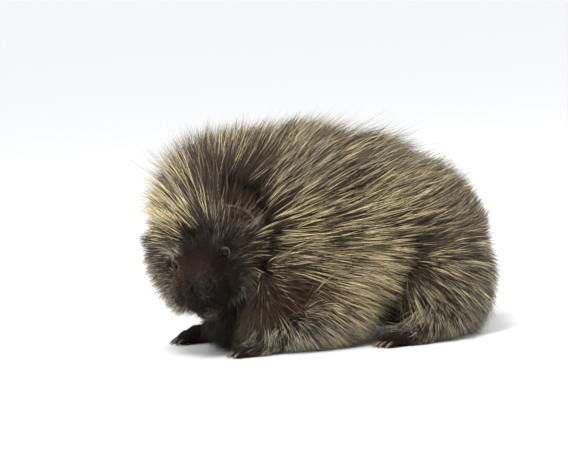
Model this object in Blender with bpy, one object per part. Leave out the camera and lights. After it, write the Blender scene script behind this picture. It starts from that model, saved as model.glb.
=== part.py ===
"""A life-size North American porcupine, crouched with its head turned to one side.

Run in Blender 4.5: blender --background --python part.py, or from the text editor.
Units are metres with +Z up. The animal faces -X, its left flank is at -Y, and the
floor is Z = 0. The solids are the outer form of the coat, out to the hair tips,
parted with thin gaps into the pieces that a person would name.
"""

import math

import bmesh
import bpy
from mathutils import Matrix, Vector
from mathutils.geometry import interpolate_bezier

MM = 0.001

# Driving sizes. Points below are in millimetres, on a floor frame whose X runs from
# nose to rump; ORIGIN is the middle of the finished outline in that frame.
ORIGIN = Vector((-0.8, 21.1, 0.0))
BODY_TURN = math.radians(11.0)
GAP = 0.4
EYE_APART = 54.0
EYE_RADIUS = 6.2
NOSE_AT = Vector((52.0, 0.0, -10.0))
NOSE_RADII = (12.0, 19.0, 11.0)
MOUTH_AT = Vector((30.0, 0.0, -47.0))
MOUTH_TILT = math.radians(96.0)
JAW_SIZE = (40.0, 76.0, 60.0)
FORM_VOXEL = 3.4
PAW_VOXEL = 1.3
FORM_TRIANGLES = 3340
TAIL_TRIANGLES = 420
PAW_TRIANGLES = 300

# The head's own frame: x forward to the nose, y to its left, z to the crown, with its
# origin midway between the eyes.
HEAD_PLACE = Vector((-134.0, -112.0, 115.0))
HEAD_YAW = math.radians(4.0)
HEAD_PITCH = math.radians(25.0)
HEAD_ROLL = math.radians(10.5)

FUR_BROWN = (0.080, 0.058, 0.045, 1.0)
FUR_TAN = (0.230, 0.180, 0.110, 1.0)
FACE_BROWN = (0.050, 0.034, 0.027, 1.0)
NOSE_BLACK = (0.020, 0.016, 0.015, 1.0)
EYE_BLACK = (0.008, 0.006, 0.005, 1.0)
PAW_BROWN = (0.055, 0.040, 0.032, 1.0)


# ---------------------------------------------------------------- shared tools


def clear_scene():
    for obj in list(bpy.data.objects):
        bpy.data.objects.remove(obj, do_unlink=True)


def head_frame():
    """Turns points of the head's own frame into points of the floor frame."""
    yawed = Vector((-math.sin(HEAD_YAW), -math.cos(HEAD_YAW), 0.0))
    side = Vector((math.cos(HEAD_YAW), -math.sin(HEAD_YAW), 0.0))
    up = Vector((0.0, 0.0, 1.0))
    forward = yawed * math.cos(HEAD_PITCH) - up * math.sin(HEAD_PITCH)
    crown = up * math.cos(HEAD_PITCH) + yawed * math.sin(HEAD_PITCH)
    left = side * math.cos(HEAD_ROLL) + crown * math.sin(HEAD_ROLL)
    crown = crown * math.cos(HEAD_ROLL) - side * math.sin(HEAD_ROLL)
    axes = Matrix((forward, left, crown)).transposed().to_4x4()
    return Matrix.Translation(HEAD_PLACE) @ axes


def body_frame(centre):
    """A frame at a point of the trunk, turned with the spine."""
    return Matrix.Translation(Vector(centre)) @ Matrix.Rotation(BODY_TURN, 4, "Z")


def add_ellipsoid(bm, frame, radii, detail=3):
    """Adds an ellipsoid to bm, at the origin of frame and along its axes."""
    stretch = Matrix.Diagonal((*radii, 1.0))
    bmesh.ops.create_icosphere(
        bm, subdivisions=detail, radius=1.0, matrix=frame @ stretch
    )


def add_head_blob(bm, centre, radii):
    add_ellipsoid(bm, head_frame() @ Matrix.Translation(Vector(centre)), radii)


def add_limb(bm, points, radii, frame=None):
    """Adds a run of overlapping balls along a smooth path, its radius easing from point to point."""
    frame = frame or Matrix.Identity(4)
    places = [Vector(p) for p in points]
    for i in range(len(places) - 1):
        start, end = places[i], places[i + 1]
        before = places[max(i - 1, 0)]
        after = places[min(i + 2, len(places) - 1)]
        leave, arrive = (end - before) / 6, (after - start) / 6
        step = 0.35 * min(radii[i], radii[i + 1])
        count = max(3, math.ceil((end - start).length / step))
        run = interpolate_bezier(start, start + leave, end - arrive, end, count)
        for k, place in enumerate(run):
            share = k / (count - 1)
            radius = radii[i] * (1 - share) + radii[i + 1] * share
            add_ellipsoid(bm, frame @ Matrix.Translation(place), (radius,) * 3, 2)


def in_metres(point):
    return (point - ORIGIN) * MM


def new_object(name, bm):
    """An object from a bmesh in floor-frame millimetres."""
    for vert in bm.verts:
        vert.co = in_metres(vert.co)
    mesh = bpy.data.meshes.new(name)
    bm.to_mesh(mesh)
    bm.free()
    obj = bpy.data.objects.new(name, mesh)
    bpy.context.scene.collection.objects.link(obj)
    return obj


def settle(obj):
    """Replaces an object's mesh with its evaluated one, and drops the modifiers."""
    graph = bpy.context.evaluated_depsgraph_get()
    mesh = bpy.data.meshes.new_from_object(obj.evaluated_get(graph))
    obj.modifiers.clear()
    old = obj.data
    obj.data = mesh
    bpy.data.meshes.remove(old)
    return obj


def fused(name, bm, voxel, smoothing, triangles):
    """One closed surface round overlapping shapes, smoothed, then thinned to a few triangles."""
    obj = new_object(name, bm)
    remesh = obj.modifiers.new("fuse", "REMESH")
    remesh.mode = "VOXEL"
    remesh.voxel_size = voxel * MM
    smooth = obj.modifiers.new("smooth", "SMOOTH")
    smooth.factor = 0.5
    smooth.iterations = smoothing
    settle(obj)
    thin = obj.modifiers.new("thin", "DECIMATE")
    obj.data.calc_loop_triangles()
    thin.ratio = min(1.0, triangles / len(obj.data.loop_triangles))
    return settle(obj)


def islands(bm):
    """The groups of faces that hang together."""
    left = set(bm.faces)
    while left:
        group, edge = set(), {left.pop()}
        while edge:
            group |= edge
            edge = {n for f in edge for e in f.edges for n in e.link_faces} - group
        left -= group
        yield group


def clean(obj):
    """Closes the hairline slivers that a Boolean leaves, and drops crumbs it cut loose."""
    bm = bmesh.new()
    bm.from_mesh(obj.data)
    bmesh.ops.remove_doubles(bm, verts=bm.verts, dist=0.02 * MM)
    bmesh.ops.dissolve_degenerate(bm, edges=bm.edges, dist=0.01 * MM)
    bmesh.ops.triangulate(bm, faces=bm.faces)
    groups = sorted(islands(bm), key=len)
    crumbs = [face for group in groups[:-1] for face in group]
    bmesh.ops.delete(bm, geom=crumbs, context="FACES")
    bm.to_mesh(obj.data)
    bm.free()


def boolean(obj, other, operation):
    """Cuts obj by other, or keeps what they share, and leaves other as it is."""
    modifier = obj.modifiers.new("cut", "BOOLEAN")
    modifier.operation = operation
    modifier.solver = "MANIFOLD"
    modifier.object = other
    settle(obj)
    clean(obj)


def grown(obj, by):
    """A copy of obj, swollen along its normals."""
    copy = obj.copy()
    copy.data = obj.data.copy()
    bpy.context.scene.collection.objects.link(copy)
    swell = copy.modifiers.new("swell", "DISPLACE")
    swell.mid_level = 0.0
    swell.strength = by * MM
    return settle(copy)


def remove(*objects):
    for obj in objects:
        bpy.data.objects.remove(obj, do_unlink=True)


def zone(frame, radii, extra=0.0):
    """A smooth ellipsoid that marks out a region to part from the form."""
    bm = bmesh.new()
    add_ellipsoid(bm, frame, [r + extra for r in radii], 2)
    return new_object("zone", bm)


def block(frame, size, extra=0.0):
    """A box with its near face on the frame's origin, running along the frame's +X."""
    bm = bmesh.new()
    place = Matrix.Translation((size[0] / 2 - extra, 0.0, 0.0))
    stretch = Matrix.Diagonal((size[0], size[1], size[2], 1.0))
    bmesh.ops.create_cube(bm, size=1.0, matrix=frame @ place @ stretch)
    return new_object("block", bm)


def part_off(name, form, marker, *args):
    """Takes what a marker shares with form away as a new object, with a thin gap left between them."""
    piece = form.copy()
    piece.data = form.data.copy()
    piece.name = name
    bpy.context.scene.collection.objects.link(piece)
    inner, outer = marker(*args), marker(*args, GAP)
    boolean(piece, inner, "INTERSECT")
    boolean(form, outer, "DIFFERENCE")
    remove(inner, outer)
    return piece


def rest_on_floor(obj):
    """Trims an object level with the floor, so that it rests on a flat."""
    floor = block(Matrix.Rotation(math.pi / 2, 4, "Y"), (80.0, 900.0, 900.0))
    boolean(obj, floor, "DIFFERENCE")
    remove(floor)
    return obj


def paint(obj, name, colour, roughness):
    """Gives an object one material with its own colour and roughness, and smooth shading."""
    material = bpy.data.materials.get(name)
    if material is None:
        material = bpy.data.materials.new(name)
        material.use_nodes = True
        shader = material.node_tree.nodes["Principled BSDF"]
        shader.inputs["Base Color"].default_value = colour
        shader.inputs["Roughness"].default_value = roughness
        shader.inputs["Metallic"].default_value = 0.0
    obj.data.materials.clear()
    obj.data.materials.append(material)
    obj.data.shade_smooth()
    obj.data.set_sharp_from_angle(angle=math.radians(50))


# ---------------------------------------------------------------- the coat's form


def add_trunk(bm):
    """Shoulders, arched back and hips, as wide as the long coat makes them."""
    for centre, radii in (
        ((-52, -2, 136), (92, 104, 118)),
        ((-8, 2, 137), (104, 114, 123)),
        ((50, 8, 123), (106, 118, 116)),
        ((98, 22, 106), (98, 114, 102)),
    ):
        add_ellipsoid(bm, body_frame(centre), radii)


def add_neck(bm):
    """The nape, with the raised crest of long hair over it, and the low chest between the forelegs."""
    add_ellipsoid(bm, body_frame((-98, -22, 170)), (88, 76, 93))
    add_ellipsoid(bm, body_frame((-102, -46, 34)), (42, 44, 42))


def add_head(bm):
    """Skull, ruff and forehead crest, then the short-haired face in front of them."""
    add_head_blob(bm, (-60, 0, 30), (50, 56, 62))
    add_head_blob(bm, (-34, 0, 2), (40, 41, 33))
    add_head_blob(bm, (-8, 0, 0), (36, 30, 24))
    add_head_blob(bm, (16, 0, -8), (38, 25, 23.5))
    add_head_blob(bm, (30, 0, -21), (24, 28.5, 24.5))
    add_head_blob(bm, (20, 0, -45), (29, 21, 19))
    for side in (-1, 1):
        add_head_blob(bm, (-10, side * 20, -24), (32, 25, 34))
        add_head_blob(bm, (7, side * 25, -26), (26, 16, 24))
        add_head_blob(bm, (-52, side * 38, -27), (38, 38.5, 56))


def add_forelegs(bm):
    """Upper arm, elbow and forearm of each foreleg, lying along the floor to the wrist."""
    add_limb(
        bm,
        ((-30, -62, 92), (14, -86, 50), (-20, -100, 29), (-72, -106, 21)),
        (46, 42, 32, 23),
    )
    add_limb(bm, ((-42, -76, 80), (-62, -94, 50), (-78, -104, 26)), (40, 30, 24))
    add_limb(
        bm,
        ((-88, 48, 92), (-62, 70, 50), (-90, 66, 28), (-124, 54, 18)),
        (42, 38, 27, 20),
    )


def add_hind_legs(bm):
    """The broad haunch and the short shank of each hind leg."""
    add_ellipsoid(bm, body_frame((137, -50, 66)), (63, 58, 68))
    add_limb(bm, ((132, -84, 34), (112, -98, 22)), (34, 22))
    add_ellipsoid(bm, body_frame((126, 92, 66)), (60, 50, 68))
    add_limb(bm, ((112, 120, 34), (98, 130, 22)), (32, 22))


def coat_form():
    """The whole animal in its coat as one closed surface, without ears, eyes and paws."""
    bm = bmesh.new()
    add_trunk(bm)
    add_neck(bm)
    add_head(bm)
    add_forelegs(bm)
    add_hind_legs(bm)
    form = fused("form", bm, FORM_VOXEL, 5, FORM_TRIANGLES)
    for side in (-1, 1):
        hollow = ear_hollow(side)
        boolean(form, hollow, "DIFFERENCE")
        remove(hollow)
    return rest_on_floor(form)


def tail(form_grown):
    """The thick tail, laid round the far hind leg along the floor."""
    path = ((138, 62, 66), (164, 100, 44), (163, 138, 30), (142, 168, 22), (112, 184, 17))
    bm = bmesh.new()
    add_limb(bm, path, (44, 37, 32, 25, 17))
    obj = rest_on_floor(fused("tail", bm, FORM_VOXEL, 4, TAIL_TRIANGLES))
    boolean(obj, form_grown, "DIFFERENCE")
    return obj


# ---------------------------------------------------------------- ears


EAR_ROOT = {1: (-36.5, 43.5, 14.0), -1: (-46.0, -40.0, 10.0)}
EAR_RADII = (14.5, 25.0, 6.2)
CUP_RADII = (9.5, 19.0, 5.0)


def ear_frame(side):
    """An ear's frame: x out to its tip, y across it, z the way that its cup faces.
    The left ear stands up and the right one is laid back."""
    tip = Vector((0.08, 0.74, 0.66) if side > 0 else (-0.85, -0.35, 0.40)).normalized()
    facing = Vector((0.90, 0.27, 0.25) if side > 0 else (0.35, -0.90, 0.0))
    facing = (facing - tip * facing.dot(tip)).normalized()
    across = facing.cross(tip)
    axes = Matrix((tip, across, facing)).transposed().to_4x4()
    return head_frame() @ Matrix.Translation(EAR_ROOT[side]) @ axes


def ear_hollow(side):
    """The bowl of short hair that an ear stands in."""
    if side > 0:
        place, radii = (-33.0, 58.0, 27.0), (25.0, 31.0, 29.0)
    else:
        place, radii = (-60.0, -62.0, 18.0), (20.0, 24.0, 18.0)
    return zone(head_frame() @ Matrix.Translation(place), radii)


def ear(side, form_grown):
    """A small round ear: a thick disc with a hollowed front, seated on the head."""
    bm = bmesh.new()
    frame = ear_frame(side)
    add_ellipsoid(bm, frame @ Matrix.Translation((4.0, 0.0, 0.0)), EAR_RADII, 2)
    obj = new_object("ear_left" if side > 0 else "ear_right", bm)
    bm = bmesh.new()
    add_ellipsoid(bm, frame @ Matrix.Translation((5.0, 0.0, 6.2)), CUP_RADII, 2)
    cup = new_object("cup", bm)
    boolean(obj, cup, "DIFFERENCE")
    boolean(obj, form_grown, "DIFFERENCE")
    remove(cup)
    return obj


# ---------------------------------------------------------------- eyes and nose


def eye_frame(side):
    return head_frame() @ Matrix.Translation((1.0, side * EYE_APART / 2, 0.0))


def eye_marker(side, extra=0.0):
    return zone(eye_frame(side), (EYE_RADIUS,) * 3, extra)


def eye(side):
    bm = bmesh.new()
    bmesh.ops.create_uvsphere(
        bm, u_segments=12, v_segments=8, radius=EYE_RADIUS, matrix=eye_frame(side)
    )
    return new_object("eye_left" if side > 0 else "eye_right", bm)


def nose_marker(extra=0.0):
    """The tip of the muzzle round both nostrils."""
    return zone(head_frame() @ Matrix.Translation(NOSE_AT), NOSE_RADII, extra)


def jaw_marker(extra=0.0):
    """The lower jaw: what lies under a plane through the mouth's line."""
    tilt = Matrix.Rotation(MOUTH_TILT, 4, "Y")
    return block(head_frame() @ Matrix.Translation(MOUTH_AT) @ tilt, JAW_SIZE, extra)


# ---------------------------------------------------------------- paws


def paw(name, heel, toes_way, sizes, toe_count, form_grown):
    """A flat-soled paw with short toes and long curved claws, cut off where the fur of the leg begins."""
    length, width, height = sizes
    ahead = Vector((math.cos(toes_way), math.sin(toes_way), 0.0))
    across = Vector((-ahead.y, ahead.x, 0.0))
    up = Vector((0.0, 0.0, 1.0))
    axes = Matrix((ahead, across, up)).transposed().to_4x4()
    frame = Matrix.Translation(Vector(heel)) @ axes
    bm = bmesh.new()
    palm = frame @ Matrix.Translation((length * 0.5, 0.0, height * 0.38))
    add_ellipsoid(bm, palm, (length * 0.56, width * 0.5, height * 0.55))
    for k in range(toe_count):
        share = k / (toe_count - 1) * 2 - 1
        root = Vector((length * (0.86 - 0.10 * share**2), share * width * 0.36, height * 0.36))
        splay = Vector((1.0, 0.34 * share, 0.0)).normalized()
        knuckle = root + splay * 8.0 + up * 1.2
        pad = root + splay * 15.0 - up * (root.z - 4.0)
        add_limb(bm, (root, knuckle, pad), (5.6, 4.8, 3.8), frame)
        bend = pad + splay * 7.0 + up * 1.6
        tip = pad + splay * 14.0 - up * 2.6
        add_limb(bm, (pad, bend, tip), (2.6, 2.1, 0.9), frame)
    obj = fused(name, bm, PAW_VOXEL, 2, PAW_TRIANGLES)
    rest_on_floor(obj)
    boolean(obj, form_grown, "DIFFERENCE")
    return obj


def paws(form_grown):
    fore, hind = (34.0, 30.0, 22.0), (52.0, 34.0, 24.0)
    return (
        paw("forepaw_left", (-58, -107, 0), math.radians(188), fore, 4, form_grown),
        paw("forepaw_right", (-126, 54, 0), math.radians(190), fore, 4, form_grown),
        paw("hindpaw_left", (122, -98, 0), math.radians(196), hind, 5, form_grown),
        paw("hindpaw_right", (104, 131, 0), math.radians(172), hind, 5, form_grown),
    )


# ---------------------------------------------------------------- the parting cuts

# The middle and the radii of an ellipsoid round each piece: the head's in its own frame,
# the legs' on the floor plan.
HEAD_ZONE = ((-30.0, 0.0, 2.0), (104.0, 84.0, 92.0))
LEG_ZONES = {
    "foreleg_left": ((-20.0, -98.0, 36.0), (96.0, 52.0, 68.0)),
    "foreleg_right": ((-96.0, 66.0, 36.0), (68.0, 46.0, 64.0)),
    "hindleg_left": ((136.0, -78.0, 48.0), (84.0, 62.0, 72.0)),
    "hindleg_right": ((122.0, 114.0, 48.0), (82.0, 54.0, 72.0)),
}
NECK_ROOT = Vector((-62.0, -24.0, 150.0))
NECK_TURN = math.radians(200.0)
NECK_LEAN = math.radians(-28.0)
NECK_BLOCK = (400.0, 800.0, 800.0)


def head_marker(extra=0.0):
    centre, radii = HEAD_ZONE
    return zone(head_frame() @ Matrix.Translation(centre), radii, extra)


def neck_marker(extra=0.0):
    """All that lies ahead of a plane across the root of the neck."""
    turn = Matrix.Rotation(NECK_TURN, 4, "Z") @ Matrix.Rotation(NECK_LEAN, 4, "Y")
    return block(Matrix.Translation(NECK_ROOT) @ turn, NECK_BLOCK, extra)


def leg_marker(name, extra=0.0):
    centre, radii = LEG_ZONES[name]
    return zone(body_frame(centre), radii, extra)


def build():
    clear_scene()
    form = coat_form()
    form_grown = grown(form, GAP)
    ears = [ear(side, form_grown) for side in (1, -1)]
    feet = paws(form_grown)
    brush = tail(form_grown)
    remove(form_grown)

    head = part_off("head", form, head_marker)
    nose = part_off("nose", head, nose_marker)
    jaw = part_off("lower_jaw", head, jaw_marker)
    eyes = []
    for side in (1, -1):
        socket = eye_marker(side, 2 * GAP)
        boolean(head, socket, "DIFFERENCE")
        remove(socket)
        eyes.append(eye(side))

    legs = [part_off(name, form, leg_marker, name) for name in LEG_ZONES]
    neck = part_off("neck", form, neck_marker)
    form.name = "trunk"

    for obj in (form, neck, brush, *legs):
        paint(obj, "long_coat", FUR_BROWN, 0.85)
    paint(head, "head_coat", FUR_TAN, 0.85)
    for obj in (jaw, *ears):
        paint(obj, "face_coat", FACE_BROWN, 0.8)
    paint(nose, "nose_skin", NOSE_BLACK, 0.5)
    for obj in eyes:
        paint(obj, "eye", EYE_BLACK, 0.08)
    for obj in feet:
        paint(obj, "paw_skin", PAW_BROWN, 0.6)


build()
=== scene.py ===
import math

import bmesh
import bpy
import numpy as np
from mathutils import Matrix, Vector
from mathutils.bvhtree import BVHTree
from mathutils.geometry import interpolate_bezier


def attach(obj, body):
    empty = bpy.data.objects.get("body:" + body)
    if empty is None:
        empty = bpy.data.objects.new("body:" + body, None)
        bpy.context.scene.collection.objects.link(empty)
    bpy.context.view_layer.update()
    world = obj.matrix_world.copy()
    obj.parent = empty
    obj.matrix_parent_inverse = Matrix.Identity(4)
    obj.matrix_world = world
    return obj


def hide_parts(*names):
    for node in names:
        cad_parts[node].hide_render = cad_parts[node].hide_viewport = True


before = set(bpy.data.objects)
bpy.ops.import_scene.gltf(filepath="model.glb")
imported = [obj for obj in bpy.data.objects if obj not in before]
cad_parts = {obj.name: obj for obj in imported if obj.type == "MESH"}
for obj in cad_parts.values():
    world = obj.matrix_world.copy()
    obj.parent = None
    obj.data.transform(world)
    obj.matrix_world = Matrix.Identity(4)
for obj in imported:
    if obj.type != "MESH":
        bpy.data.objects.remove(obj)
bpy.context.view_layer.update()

# ---------------------------------------------------------------- camera, floor and light
# The camera stands level with the animal's left flank and a little above its back, tilted a
# few degrees to one side. The floor is a plain pale sheet, and the light is that of a bright
# overcast day, with one broad soft source above and to the left and a weaker one behind.

MM = 0.001
MIDDLE = Vector((-0.8, 21.1, 0.0))


def place(point):
    """A point of the animal's floor plan, in millimetres, as a place in metres."""
    return (Vector(point) - MIDDLE) * MM


AIM = place((-38.2, 0.0, 134.8))
CAMERA_RISE = math.radians(5.0)
CAMERA_TILT = math.radians(4.0)
CAMERA_AWAY = 4.0
FRAME_WIDTH = 0.6532
FILM_WIDTH = 36.0
FAR_CLIP = 100.0

ahead = Vector((0.0, math.cos(CAMERA_RISE), -math.sin(CAMERA_RISE)))
level_up = Vector((0.0, math.sin(CAMERA_RISE), math.cos(CAMERA_RISE)))
right = Vector((1.0, 0.0, 0.0))
lean = Matrix.Rotation(CAMERA_TILT, 3, ahead)


def add_object(name, data):
    obj = bpy.data.objects.new(name, data)
    bpy.context.scene.collection.objects.link(obj)
    return obj


camera_data = bpy.data.cameras.new("camera")
camera_data.sensor_width = FILM_WIDTH
camera_data.lens = FILM_WIDTH * CAMERA_AWAY / FRAME_WIDTH
camera_data.clip_end = FAR_CLIP
camera = add_object("camera", camera_data)
axes = Matrix((lean @ right, lean @ level_up, -ahead)).transposed().to_4x4()
camera.matrix_world = Matrix.Translation(AIM - ahead * CAMERA_AWAY) @ axes
bpy.context.scene.camera = camera


def put(tree, kind, inputs=None, **settings):
    """Adds a node. Each of its inputs takes a value, or a socket of another node."""
    node = tree.nodes.new(kind)
    for name, value in settings.items():
        setattr(node, name, value)
    for key, value in (inputs or {}).items():
        if isinstance(value, bpy.types.NodeSocket):
            tree.links.new(value, node.inputs[key])
        else:
            node.inputs[key].default_value = value
    return node


def new_material(name):
    """An empty material and its node tree."""
    material = bpy.data.materials.new(name)
    material.use_nodes = True
    material.node_tree.nodes.clear()
    return material, material.node_tree


def shade(tree, inputs):
    """Ends a material's tree in a shader with these inputs."""
    shader = put(tree, "ShaderNodeBsdfPrincipled", inputs)
    put(tree, "ShaderNodeOutputMaterial", {"Surface": shader.outputs[0]})


def new_object(name, bm):
    """Makes an object of a finished mesh, shaded smooth."""
    for face in bm.faces:
        face.smooth = True
    mesh = bpy.data.meshes.new(name)
    bm.to_mesh(mesh)
    bm.free()
    return add_object(name, mesh)


FLOOR_SIDE = 60.0
FLOOR_COLOUR = (0.93, 0.93, 0.925, 1.0)

bm = bmesh.new()
bmesh.ops.create_grid(bm, x_segments=1, y_segments=1, size=FLOOR_SIDE / 2)
floor = new_object("floor", bm)
material, tree = new_material("pale_floor")
shade(tree, {"Base Color": FLOOR_COLOUR, "Roughness": 0.9})
floor.data.materials.append(material)

SKY_STRENGTH = 1.01
SKY_COLOUR = (0.97, 0.985, 1.0, 1.0)
LIT_POINT = Vector((0.0, 0.0, 0.12))
world = bpy.data.worlds.new("overcast")
world.use_nodes = True
sky = world.node_tree.nodes["Background"].inputs
sky["Color"].default_value = SKY_COLOUR
sky["Strength"].default_value = SKY_STRENGTH
bpy.context.scene.world = world


def add_soft_light(name, spot, side, watts):
    data = bpy.data.lights.new(name, "AREA")
    data.size = side
    data.energy = watts
    lamp = add_object(name, data)
    lamp.location = spot
    lamp.rotation_euler = (LIT_POINT - Vector(spot)).to_track_quat("-Z", "Y").to_euler()


add_soft_light("key", (-0.5, -1.9, 2.35), 0.9, 62.0)
add_soft_light("rim", (1.4, 1.5, 2.1), 1.2, 16.0)
bpy.context.scene.view_settings.view_transform = "Standard"
bpy.context.scene.view_settings.look = "None"

# ---------------------------------------------------------------- skin
# One skin covers the whole animal without a seam. It is built up from smooth overlapping
# forms for skull, muscle and limbs, fused into one surface, and then worked round the eyes,
# nose, mouth and ears. Under the long coat it lies well inside the solids.

HEAD_PLACE = Vector((-134.0, -112.0, 115.0))
HEAD_YAW = math.radians(4.0)
HEAD_PITCH = math.radians(25.0)
HEAD_ROLL = math.radians(10.5)
BODY_TURN = math.radians(11.0)
SKIN_VOXEL = 2.6
BALL_STEP = 0.3


def head_frame():
    """The head's own frame: x forward, y to its left, z to the crown, from between the eyes."""
    yawed = Vector((-math.sin(HEAD_YAW), -math.cos(HEAD_YAW), 0.0))
    side = Vector((math.cos(HEAD_YAW), -math.sin(HEAD_YAW), 0.0))
    up = Vector((0.0, 0.0, 1.0))
    forward = yawed * math.cos(HEAD_PITCH) - up * math.sin(HEAD_PITCH)
    crown = up * math.cos(HEAD_PITCH) + yawed * math.sin(HEAD_PITCH)
    left = side * math.cos(HEAD_ROLL) + crown * math.sin(HEAD_ROLL)
    crown = crown * math.cos(HEAD_ROLL) - side * math.sin(HEAD_ROLL)
    turned = Matrix((forward, left, crown)).transposed().to_4x4()
    return Matrix.Translation(HEAD_PLACE) @ turned


HEAD = head_frame()


def body_frame(centre):
    return Matrix.Translation(Vector(centre)) @ Matrix.Rotation(BODY_TURN, 4, "Z")


def add_form(bm, at, radii, detail=3):
    stretch = Matrix.Diagonal((*radii, 1.0))
    bmesh.ops.create_icosphere(bm, subdivisions=detail, radius=1.0, matrix=at @ stretch)


def add_limb(bm, points, radii, at=None):
    """A run of overlapping balls along a smooth path, its radius easing from point to point."""
    at = at or Matrix.Identity(4)
    places = [Vector(p) for p in points]
    for i in range(len(places) - 1):
        start, end = places[i], places[i + 1]
        before, after = places[max(i - 1, 0)], places[min(i + 2, len(places) - 1)]
        leave, arrive = (end - before) / 6, (after - start) / 6
        step = BALL_STEP * min(radii[i], radii[i + 1])
        count = max(3, math.ceil((end - start).length / step))
        path = interpolate_bezier(start, start + leave, end - arrive, end, count)
        for k, spot in enumerate(path):
            share = k / (count - 1)
            radius = radii[i] * (1 - share) + radii[i + 1] * share
            add_form(bm, at @ Matrix.Translation(spot), (radius,) * 3, 2)


def add_trunk_and_neck(bm):
    for centre, radii in (
        ((-52, -2, 122), (76, 78, 86)),
        ((-8, 2, 122), (88, 88, 92)),
        ((50, 8, 110), (90, 92, 88)),
        ((98, 22, 94), (80, 88, 76)),
        ((-92, -22, 144), (58, 50, 60)),
        ((-100, -52, 128), (44, 42, 50)),
        ((-88, -20, 86), (34, 46, 40)),
        ((-98, -44, 42), (27, 28, 30)),
    ):
        add_form(bm, body_frame(centre), radii)


def add_head(bm):
    """Skull, temples, roman nose, blunt muzzle, chin, cheeks and the muscle behind the jaw."""
    forms = [
        ((-42, 0, 8), (42, 36, 33)),
        ((-30, 0, 2), (38, 36, 29)),
        ((-8, 0, 0), (34, 28, 21.5)),
        ((16, 0, -8), (36, 22.5, 21.5)),
        ((30, 1.5, -21), (22.0, 25.0, 22.0)),
        ((44, 2, -12), (8.0, 15.5, 9.5)),
        ((22, -1.5, -47), (27, 19, 16.5)),
    ]
    for side in (-1, 1):
        forms.append(((-10, side * 20, -24), (30, 22, 31)))
        forms.append(((-38, side * 25, -20), (33, 23, 33)))
        forms.append(((13, side * 17, -9), (17, 9, 13)))
        forms.append(((13, side * 15.5, -1), (8, 7, 9)))
        forms.append(((7, side * 25, -26), (24, 13, 21)))
        forms.append(((1, side * 24, 9), (12, 7.5, 5)))
        forms.append(((37, side * 11, -33), (13.5, 13, 12)))
    for centre, radii in forms:
        add_form(bm, HEAD @ Matrix.Translation(Vector(centre)), radii)


EAR_ROOT = {1: (-36.5, 43.5, 14.0), -1: (-46.0, -40.0, 10.0)}
EAR_TIP = {1: (0.08, 0.74, 0.66), -1: (-0.85, -0.35, 0.40)}
EAR_FACING = {1: (0.90, 0.27, 0.25), -1: (0.35, -0.90, 0.0)}
EAR_SIZE = (12.8, 23.5, 4.8)


def ear_frame(side):
    """An ear's frame: x out to its tip, y across it, z the way that its cup faces.
    The left ear stands up and the right one is laid back."""
    tip = Vector(EAR_TIP[side]).normalized()
    facing = Vector(EAR_FACING[side])
    facing = (facing - tip * facing.dot(tip)).normalized()
    turned = Matrix((tip, facing.cross(tip), facing)).transposed().to_4x4()
    return HEAD @ Matrix.Translation(EAR_ROOT[side]) @ turned


def add_ears(bm):
    for side in (-1, 1):
        add_form(bm, ear_frame(side) @ Matrix.Translation((4.0, 0.0, 0.0)), EAR_SIZE)
        add_limb(bm, ((-30, side * 30, 4), (-40, side * 42, 9)), (12, 9), HEAD)


def add_limbs(bm):
    """The forelegs, the left one in two runs, the hind feet, the tail and the haunches."""
    for points, radii in (
        (((-30, -56, 92), (10, -78, 50), (-20, -96, 27), (-66, -104, 16)), (34, 29, 19, 12)),
        (((-44, -68, 80), (-62, -88, 48), (-74, -102, 20)), (28, 19, 13)),
        (((-84, 44, 92), (-62, 64, 50), (-90, 62, 26), (-128, 55, 14)), (31, 27, 17, 11)),
        (((134, -80, 34), (116, -96, 18), (104, -99, 12)), (24, 16, 12)),
        (((112, 116, 34), (100, 128, 18), (86, 131, 12)), (23, 16, 12)),
        (((138, 62, 62), (162, 98, 38), (161, 136, 24), (141, 165, 17), (116, 181, 12)),
         (34, 25, 19, 14, 8)),
    ):
        add_limb(bm, points, radii)
    add_form(bm, body_frame((134, -46, 62)), (48, 46, 54))
    add_form(bm, body_frame((124, 86, 62)), (46, 42, 54))


FORE_SIZE = (34.0, 30.0, 22.0)
HIND_SIZE = (52.0, 34.0, 24.0)
PAWS = (
    ("forepaw_left", (-58, -107, 0), math.radians(188), FORE_SIZE, 4),
    ("forepaw_right", (-126, 54, 0), math.radians(190), FORE_SIZE, 4),
    ("hindpaw_left", (122, -98, 0), math.radians(196), HIND_SIZE, 5),
    ("hindpaw_right", (104, 131, 0), math.radians(172), HIND_SIZE, 5),
)
# the palm and the roots of the toes are shares of the paw's size, the rest is in millimetres
PALM_MIDDLE, PALM_RADII = (0.5, 0.0, 0.38), (0.55, 0.48, 0.52)
TOE_FORWARD, TOE_ARC, TOE_SPREAD, TOE_HEIGHT = 0.86, 0.10, 0.36, 0.36
TOE_SPLAY = 0.34
KNUCKLE_OUT, KNUCKLE_UP = 8.0, 1.2
PAD_OUT, PAD_HEIGHT = 15.0, 4.0
TOE_RADII = (5.2, 4.5, 3.5)


def paw_frame(heel, toes_way):
    return Matrix.Translation(Vector(heel)) @ Matrix.Rotation(toes_way, 4, "Z")


def toe(k, count, length, width, height):
    """Root, knuckle and pad of one toe, and the way that it points, in its paw's frame."""
    share = k / (count - 1) * 2 - 1
    forward = length * (TOE_FORWARD - TOE_ARC * share**2)
    root = Vector((forward, share * width * TOE_SPREAD, height * TOE_HEIGHT))
    splay = Vector((1.0, TOE_SPLAY * share, 0.0)).normalized()
    knuckle = root + splay * KNUCKLE_OUT + Vector((0, 0, KNUCKLE_UP))
    pad = Vector((root.x, root.y, PAD_HEIGHT)) + splay * PAD_OUT
    return root, knuckle, pad, splay


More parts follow.
